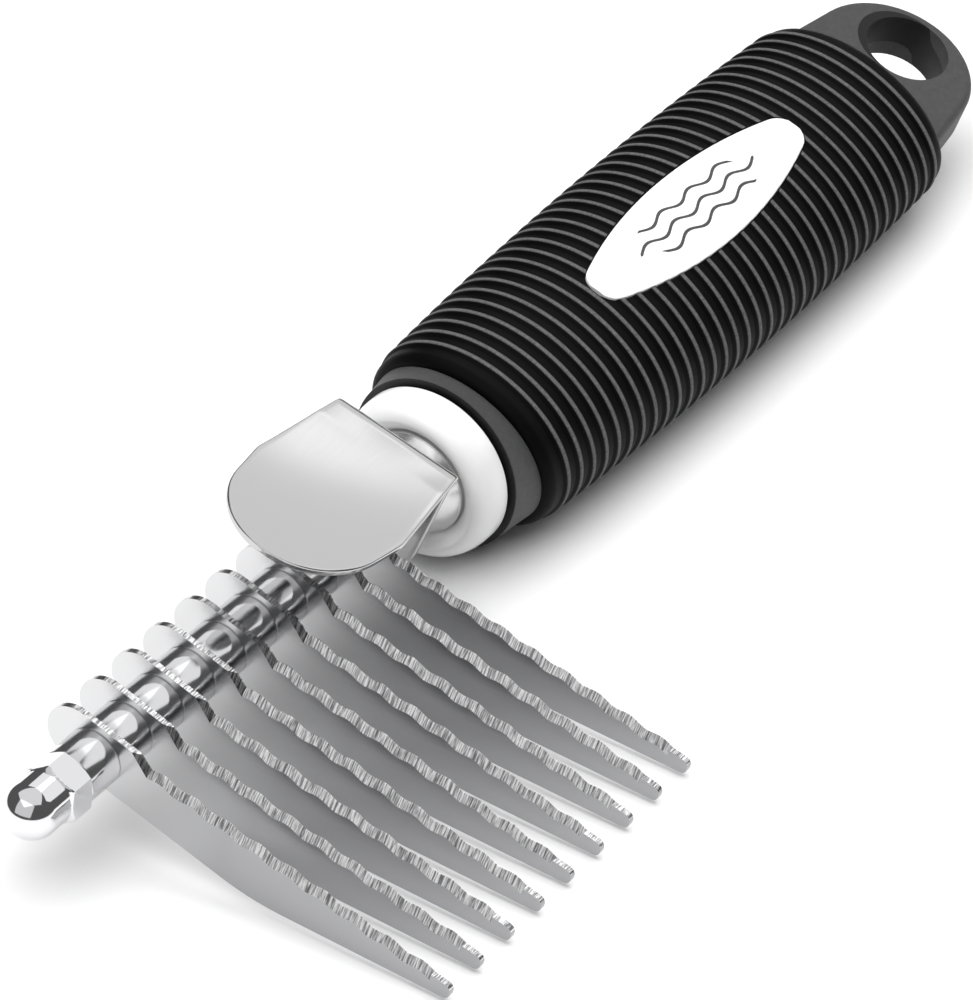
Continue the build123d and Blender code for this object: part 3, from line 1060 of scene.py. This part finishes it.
# ---- handle: core, sleeve and label -------------------------------------------------------
@dataclass
class Grip:
    """Handle core, ribbed rubber sleeve and the label set into it."""

    rod: RodFrame
    nodes: dict
    start: float = 81.6
    length: float = 101.0
    half_height: float = 11.1
    height_loss: float = 0.00012
    half_width: float = 17.0
    width_loss: float = 0.00064
    widest: float = 58.0
    wall: float = 1.8
    front_round: float = 1.6
    end_round: float = 2.0
    rib_count: int = 34
    rib_first: float = 3.8
    rib_pitch: float = 2.83
    rib_height: float = 0.4
    rib_share: float = 0.5  # of the pitch that a rounded rib takes
    rib_rows: int = 18  # grid rows to a pitch
    label_length: float = 56.5
    label_half: float = 6.45
    label_round: float = 3.2
    label_centre: float = 52.8
    label_proud: float = 0.35
    label_thickness: float = 1.0
    label_gap: float = 0.1
    label_edge_round: float = 0.25
    label_end_half: float = 0.3  # half width at which its rings stop
    label_flat: float = 0.96  # share of the flat's half width that its grid lines reach
    label_lift: float = 0.06  # of the plate's underside, which is just over the floor's
    pocket_lift: float = 0.05  # of the pocket's floor
    least_pocket: float = 0.6  # half width that the top's grid lines keep off the pocket
    top_lines: int = 17
    wall_gap: float = 0.004  # between the two grid lines at the pocket's wall, in radians
    collar_gap_end: float = 76.3  # along the rod
    hole: tuple = (0.0, 0.0, 0.0)  # the hanging hole's middle, in metres

    def half_size(self, behind: np.ndarray) -> tuple[np.ndarray, np.ndarray]:
        """Half the oval's width and height: each loses a share of a squared distance."""
        width = self.half_width - self.width_loss * (behind - self.widest) ** 2
        return width, self.half_height - self.height_loss * behind**2

    def oval(self, behind: np.ndarray, offset: np.ndarray, turn: np.ndarray) -> np.ndarray:
        """Points of the grip's oval, moved out along its normal.

        A point at angle t from the top is (width sin t, height cos t), and its normal is
        (sin t / width, cos t / height), made of length one.

        Args:
            behind: distance behind the sleeve's front.
            offset: how far out from the oval, negative inwards.
            turn: the angle from the top.

        Returns:
            Points in millimetres.
        """
        width, height = self.half_size(behind)
        side, up = np.sin(turn), np.cos(turn)
        size = np.hypot(side / width, up / height)
        y = width * side + offset * side / width / size
        z = height * up + offset * up / height / size
        return np.stack([self.start + behind + 0 * turn, y, z], axis=-1)

    def label_edge(self, behind: np.ndarray, grow: float) -> np.ndarray:
        """Half the label's width at a distance behind the sleeve's front, zero off its ends.

        Two arcs meet in points, and each point is rounded by a circle: the edge is the arc
        where it is inside the circle's touching point, and the circle beyond it.

        Args:
            behind: distance behind the sleeve's front.
            grow: offset of the outline.

        Returns:
            Half widths.
        """
        half = self.label_half + grow
        tip = self.label_length / 2 + 1.1 * self.label_round + 1.2 * grow
        round_radius = self.label_round + grow
        radius = (tip**2 + half**2) / (2 * half)
        sink = radius - half  # the arc's centre is this far past the middle line
        centre = np.sqrt((radius - round_radius) ** 2 - sink**2)
        touch = centre * radius / (radius - round_radius)
        place = np.abs(behind - self.label_centre)
        on_arc = np.sqrt(np.maximum(0, radius**2 - place**2)) - sink
        on_tip = np.sqrt(np.maximum(0, round_radius**2 - (place - centre) ** 2))
        return np.where(place < touch, on_arc, np.where(place < centre + round_radius, on_tip, 0))

    def sleeve_profile(self) -> tuple[np.ndarray, np.ndarray, np.ndarray]:
        """The sleeve's outer profile: a rounded lip, the ribs and a rounded end.

        Returns:
            Distance behind the front, offset from the oval, and the rib's height from 0 to 1.
        """
        lip = arc((self.front_round, -self.front_round), self.front_round, 180, 90, 9)
        close = np.degrees(np.arcsin(1 - self.wall / self.end_round))
        end_x = self.length - self.end_round
        end = arc((end_x, -self.end_round), self.end_round, 90, close, 10)
        behind = np.concatenate(
            [
                lip[:, 0],
                np.arange(self.front_round + 0.15, end_x - 0.1, self.rib_pitch / self.rib_rows),
                end[:, 0],
            ]
        )
        offset = np.interp(behind, lip[:, 0], lip[:, 1], right=0)
        offset += np.interp(behind, end[:, 0], end[:, 1], left=0)
        number = (behind - self.rib_first) / self.rib_pitch
        beyond = 0.45  # pitches, before the first crest and after the last
        inside = (number > -beyond) & (number < self.rib_count - 1 + beyond)
        from_crest = np.abs(number - np.round(number)) / (self.rib_share / 2)
        rib = np.where(inside & (from_crest < 1), 1 - from_crest**2, 0)
        rib = np.sqrt(np.clip(rib, 0, 1))
        return behind, offset + self.rib_height * rib, rib

    def build_sleeve(self) -> None:
        """Makes the sleeve as a closed skin, with grid lines that follow the label's pocket.

        Across the top the lines sit at fixed shares of the pocket's half width, with two at
        its wall; round the rest of the oval they are spread evenly.
        """
        behind, offset, rib = self.sleeve_profile()
        edge = self.label_edge(behind, self.label_gap)
        pocket = edge > 0
        line = np.maximum(edge, self.least_pocket)[:, None]
        width = self.half_size(behind)[0][:, None]
        shares = np.linspace(-1, 1, self.top_lines)[None, :]
        top_turn = np.arcsin(np.clip(shares * line / width, -1, 1))
        last = top_turn[:, -1:]
        spread = np.linspace(0, 1, 104)[None, :]
        gap = self.wall_gap
        rest_turn = last + gap + spread * (2 * np.pi - 2 * last - 2 * gap)
        turn = np.concatenate([top_turn, rest_turn], 1)
        floor = self.label_proud - self.label_thickness + self.pocket_lift
        floor_rows = np.where(pocket, floor, offset)[:, None] + 0 * top_turn
        raised = np.concatenate([floor_rows, offset[:, None] + 0 * rest_turn], 1)
        outer = self.oval(behind[:, None], raised, turn)
        # four rings line the bore, from the rear to the front
        inner_behind = np.array([behind[-1], self.length * 0.66, self.length * 0.33, 0.0])
        inner_turn = turn[[-1, len(turn) * 2 // 3, len(turn) // 3, 0]]
        inner = self.oval(inner_behind[:, None], -self.wall, inner_turn)
        points = np.concatenate([outer, inner])
        piece = make_piece(
            "ribbed_sleeve", self.rod.place(points, True), closed_rows=True, sharp=50, flip=True
        )
        height = np.zeros(points.shape[:2], np.float32)
        height[: len(rib)] = rib[:, None]
        height[: len(rib), : self.top_lines] = np.where(pocket, 0, rib)[:, None]
        stored = piece.data.attributes.new("rib", "FLOAT", "POINT")
        stored.data.foreach_set("value", height.ravel())
        rubber = RibbedRubber("moulded_black_rubber", "#020202", 0.5, 0.0, 1.52).make()
        finish_piece(piece, rubber, Body.HANDLE, "sleeve_rubber", "grip_sleeve")

    def build_label(self) -> None:
        """Makes the label: slot-shaped rings across it, on the grip's own curve."""
        reach = self.label_length / 2 + 2
        share = np.linspace(0, np.pi, 120)
        behind = self.label_centre - reach * np.cos(share)
        edge = self.label_edge(behind, 0.0)
        wide = edge > self.label_end_half
        behind, edge = behind[wide], edge[wide]
        rounding = self.label_edge_round
        across = np.linspace(-1, 1, 25)[1:-1]
        turn = np.radians(np.linspace(0, 90, 5))
        inset, drop = rounding * (1 - np.sin(turn)), rounding * (1 - np.cos(turn))
        top = self.label_proud
        floor = top - self.label_thickness + self.label_lift
        flat = across * self.label_flat
        q = np.concatenate([flat, np.ones(6), -flat, -np.ones(6)])
        inward = np.concatenate([0 * across, inset, [0.0], 0 * across, [0.0], inset[::-1]])
        height = np.concatenate(
            [0 * across + top, top - drop, [floor], 0 * across + floor, [floor], top - drop[::-1]]
        )
        side = q * np.where(np.abs(q) < 1, edge[:, None] - rounding, edge[:, None] - inward)
        width = self.half_size(behind)[0][:, None]
        tilt = np.arcsin(np.clip(side / width, -1, 1))
        points = self.oval(behind[:, None], height, tilt)
        placed = self.rod.place(points, True)
        piece = make_piece("inset_label", placed, sharp=50, flip=True)
        low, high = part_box("label_plate")
        lies = {"centre": tuple((low + high) / 2), "turn": self.rod.grip_roll}
        plate = PrintedPlate("printed_white_plate", "#F7F7F7", 0.22, **lies).make()
        finish_piece(piece, plate, Body.HANDLE, "label_plastic", "label_plate")

    def build(self) -> None:
        """Makes the sleeve and the label, and dresses the core."""
        self.build_sleeve()
        self.build_label()
        gap_end = self.rod.place(np.array([self.collar_gap_end, 0, 0]))[0]
        grain = {"cloud": "#4A4A4B", "cloud_size": 0.9, "grain": 0.3, "grain_depth": 0.01}
        # where the core gets painted shade: the gap behind the ferrule and the hanging hole
        dark = {"gap_end": gap_end, "hole": tuple(self.hole)}
        core = HandlePlastic("moulded_grey_nylon", "#2C2C2D", 0.6, 0.0, 1.53, **grain, **dark)
        dress(self.nodes["handle_core"], core.make())
        LOG.info("handle core dressed")


# ---- studio -------------------------------------------------------------------------------
@dataclass
class Studio:
    """Camera, pale floor and soft lights."""

    rod: RodFrame
    eye: tuple = (-577.3, -263.1, 653.1)  # along the rod, across it and over it
    right: tuple = (0.5517, -0.7986, 0.2406)
    down: tuple = (-0.4804, -0.5401, -0.6910)
    forward: tuple = (0.6818, 0.2656, -0.6816)
    lens: float = 270.57
    sensor: float = 36.0

    def build_camera(self) -> None:
        """Sets the camera from its place and directions beside the rod."""
        data = bpy.data.cameras.new("camera")
        data.lens, data.sensor_width, data.sensor_fit = self.lens, self.sensor, "HORIZONTAL"
        data.clip_start, data.clip_end = 0.05, 50
        camera = bpy.data.objects.new("camera", data)
        bpy.context.scene.collection.objects.link(camera)
        zero = self.rod.place(np.zeros(3))
        axes = [
            (self.rod.place(np.array(axis)) - zero) / MM
            for axis in (self.right, tuple(-d for d in self.down), tuple(-f for f in self.forward))
        ]
        turned = Matrix([list(axis) for axis in axes]).transposed().to_4x4()
        turned.translation = Vector(self.rod.place(np.array(self.eye)))
        camera.matrix_world = turned
        bpy.context.scene.camera = camera

    def softbox(
        self, name: str, place: tuple, target: tuple, size: tuple, power: float
    ) -> bpy.types.Object:
        """Adds one rectangular soft light that faces a target.

        Args:
            name: the light's name.
            place: its middle, in metres.
            target: the point that it faces.
            size: width and height, in metres.
            power: in watts.

        Returns:
            The light's object.
        """
        data = bpy.data.lights.new(name, "AREA")
        data.shape, data.size, data.size_y, data.energy = "RECTANGLE", size[0], size[1], power
        light = bpy.data.objects.new(name, data)
        bpy.context.scene.collection.objects.link(light)
        light.location = place
        aim = Vector(target) - Vector(place)
        light.rotation_euler = aim.to_track_quat("-Z", "Y").to_euler()
        return light

    def build_floor(self) -> None:
        """Adds the pale floor and the dim room round it."""
        points = [(-4, -4, 0), (4, -4, 0), (4, 4, 0), (-4, 4, 0)]
        mesh = bpy.data.meshes.new("floor")
        mesh.from_pydata(points, [], [(0, 1, 2, 3)])
        floor = bpy.data.objects.new("floor", mesh)
        bpy.context.scene.collection.objects.link(floor)
        paper = MouldedPlastic(
            "backdrop_paper", "#F4F4F4", 0.9, cloud="#F6F6F6", cloud_size=60.0, grain=1.0
        )
        dress(floor, paper.make())
        world = bpy.data.worlds.new("room")
        world.use_nodes = True
        sky = world.node_tree.nodes["Background"]
        sky.inputs["Color"].default_value = linear("#FFFFFF")
        sky.inputs["Strength"].default_value = 0.10
        bpy.context.scene.world = world

    def build(self) -> None:
        """Adds everything, and shows colours as they are."""
        self.build_camera()
        self.build_floor()
        top = self.softbox("top_softbox", (-0.1, 0.1, 1.5), (0, 0, 0), (2.2, 2.2), 42)
        top.visible_glossy = False
        card = self.softbox("top_card", (-0.1, 0.1, 1.6), (0, 0, 0), (2.4, 2.4), 13)
        card.visible_diffuse = False
        self.softbox("nut_side_card", (-1.05, 0.0, 0.72), (0, 0, 0), (1.5, 1.2), 3.4)
        self.softbox("tab_side_card", (1.25, -0.1, 0.95), (0, 0, 0), (2.6, 1.1), 8)
        bpy.context.scene.view_settings.view_transform = "Standard"


def main() -> None:
    """Builds the comb's looks, one sub-assembly after another."""
    logging.basicConfig(level=logging.INFO, format="%(name)s: %(message)s")
    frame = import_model()
    nodes = frame["nodes"]
    rod = RodFrame.from_frame(frame, nut_seat=-5.9, twist=4.0)
    LOG.info("blades rolled %.2f degrees", degrees(rod.rod_roll))
    Studio(rod).build()
    BladePack(rod, nodes).build()
    ClampStack(rod, nodes).build()
    ThumbRest(rod).build()
    Neck(rod).build()
    Grip(rod, nodes, hole=frame["record"]["mounts"][0]["pos_m"]).build()


if __name__ == "__main__":
    main()
